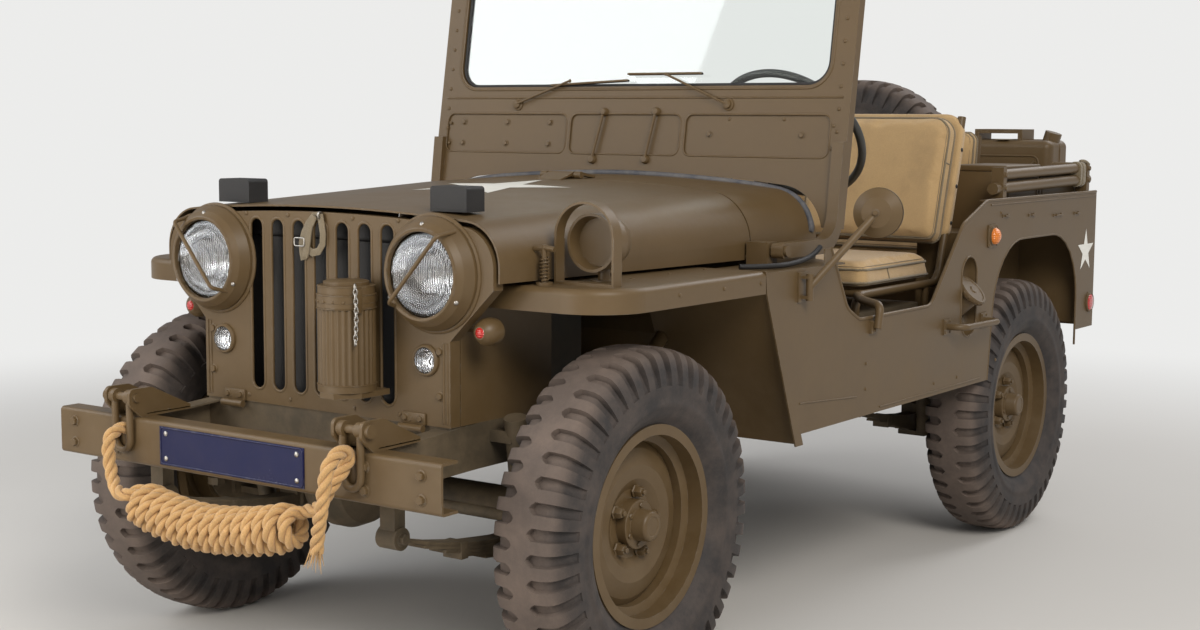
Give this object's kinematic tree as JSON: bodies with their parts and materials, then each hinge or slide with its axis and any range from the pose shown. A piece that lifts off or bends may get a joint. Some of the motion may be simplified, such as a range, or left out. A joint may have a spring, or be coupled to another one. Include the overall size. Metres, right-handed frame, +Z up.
{
  "type": "open military 4x4 car",
  "caption": "Open army 4x4 car with a slotted flat grille, folding windshield, tow rope on the bumper, canvas seats and a spare wheel at the back.",
  "frame": {"origin": "on the ground on the centreline, halfway between the bumper and the spare wheel", "axes": "+X forward, +Y to the vehicle's left, +Z up"},
  "size_m": [3.4163, 1.6918, 1.735],
  "materials": {
    "body_paint": "satin",
    "chassis_paint": "matte",
    "black_paint": "satin",
    "plate_blue": "gloss",
    "engine_iron": "matte",
    "bare_steel": "satin",
    "tyre_rubber": "matte",
    "seat_canvas": "matte",
    "lens_glass": "gloss",
    "window_glass": "gloss",
    "lamp_plastic": "gloss",
    "wheel_rim_plastic": "satin",
    "rope_fibre": "matte"
  },
  "bodies": {
    "vehicle_body": {"axles": "chassis_paint", "bench_frame": "body_paint", "body_hardware": "body_paint", "canister": "body_paint", "cowl": "body_paint", "driveline": "chassis_paint", "driver_frame": "body_paint", "engine": "engine_iron", "exhaust": "bare_steel", "fender_left": "body_paint", "fender_right": "body_paint", "frame": "chassis_paint", "front_bumper": "body_paint", "fuel_tank": "chassis_paint", "grille": "body_paint", "headlamps": "body_paint", "jerry_can": "body_paint", "lamp_lenses": "lens_glass", "mirror": "body_paint", "number_plate": "plate_blue", "pintle_hook": "body_paint", "radiator": "black_paint", "rear_carriers": "body_paint", "rope_hank": "rope_fibre", "rope_line": "rope_fibre", "seat_backs": "seat_canvas", "seat_cushions": "seat_canvas", "seat_stands": "body_paint", "signal_lamps": "lamp_plastic", "spare_tyre": "tyre_rubber", "spare_wheel": "body_paint", "steering_column": "body_paint", "suspension": "chassis_paint", "top_bows": "body_paint", "tow_shackles": "body_paint", "tub_floor": "body_paint", "tub_left": "body_paint", "tub_rear": "body_paint", "tub_right": "body_paint"},
    "passenger_seat": {"passenger_frame": "body_paint", "passenger_cushion": "seat_canvas", "passenger_back": "seat_canvas"},
    "steering_wheel_body": {"steering_wheel": "wheel_rim_plastic"},
    "hood_lid": {"hood": "body_paint", "hood_blocks": "black_paint"},
    "windshield": {"windshield_frame": "body_paint", "windshield_glass": "window_glass"},
    "steering_link": {"tie_rod": "chassis_paint"},
    "left_knuckle": {"knuckle_left": "chassis_paint"},
    "right_knuckle": {"knuckle_right": "chassis_paint"},
    "front_left_wheel": {"wheel_front_left": "body_paint", "tyre_front_left": "tyre_rubber"},
    "front_right_wheel": {"wheel_front_right": "body_paint", "tyre_front_right": "tyre_rubber"},
    "rear_left_wheel": {"wheel_rear_left": "body_paint", "tyre_rear_left": "tyre_rubber"},
    "rear_right_wheel": {"wheel_rear_right": "body_paint", "tyre_rear_right": "tyre_rubber"}
  },
  "joints": [
    {"name": "hood_hinge", "type": "hinge", "parent": "vehicle_body", "child": "hood_lid", "pos_m": [0.495, 0, 1.11], "axis": [0, -1, 0], "range_deg": [0, 100]},
    {"name": "windshield_fold", "type": "hinge", "parent": "vehicle_body", "child": "windshield", "pos_m": [0.502, 0, 0.943], "axis": [0, -1, 0], "range_deg": [-104.9, 0]},
    {"name": "passenger_seat_tip", "type": "hinge", "parent": "vehicle_body", "child": "passenger_seat", "pos_m": [-0.008, -0.38, 0.792], "axis": [0, 1, 0], "range_deg": [0, 45]},
    {"name": "steering_wheel_turn", "type": "hinge", "parent": "vehicle_body", "child": "steering_wheel_body", "pos_m": [-0.018, 0.39, 1.215], "axis": [-0.788, 0, 0.6157], "range_deg": [-336, 336]},
    {"name": "left_knuckle_steer", "type": "hinge", "parent": "vehicle_body", "child": "left_knuckle", "pos_m": [1.092, 0.49, 0.386], "axis": [0, 0, 1], "range_deg": [-24, 24]},
    {"name": "right_knuckle_steer", "type": "hinge", "parent": "vehicle_body", "child": "right_knuckle", "pos_m": [1.092, -0.49, 0.386], "axis": [0, 0, 1], "range_deg": [-24, 24]},
    {"name": "steering_link_pivot", "type": "hinge", "parent": "left_knuckle", "child": "steering_link", "pos_m": [1.252, 0.49, 0.402], "axis": [0, 0, 1], "range_deg": [-24, 24]},
    {"name": "front_left_roll", "type": "hinge", "parent": "left_knuckle", "child": "front_left_wheel", "pos_m": [1.092, 0.625, 0.386], "axis": [0, 1, 0], "continuous": true},
    {"name": "front_right_roll", "type": "hinge", "parent": "right_knuckle", "child": "front_right_wheel", "pos_m": [1.092, -0.625, 0.386], "axis": [0, 1, 0], "continuous": true},
    {"name": "rear_left_roll", "type": "hinge", "parent": "vehicle_body", "child": "rear_left_wheel", "pos_m": [-0.94, 0.625, 0.386], "axis": [0, 1, 0], "continuous": true},
    {"name": "rear_right_roll", "type": "hinge", "parent": "vehicle_body", "child": "rear_right_wheel", "pos_m": [-0.94, -0.625, 0.386], "axis": [0, 1, 0], "continuous": true}
  ],
  "couplings": [
    {"joint": "left_knuckle_steer", "follows": "steering_wheel_turn", "ratio": 0.0714},
    {"joint": "right_knuckle_steer", "follows": "steering_wheel_turn", "ratio": 0.0714},
    {"joint": "steering_link_pivot", "follows": "steering_wheel_turn", "ratio": -0.0714}
  ]
}
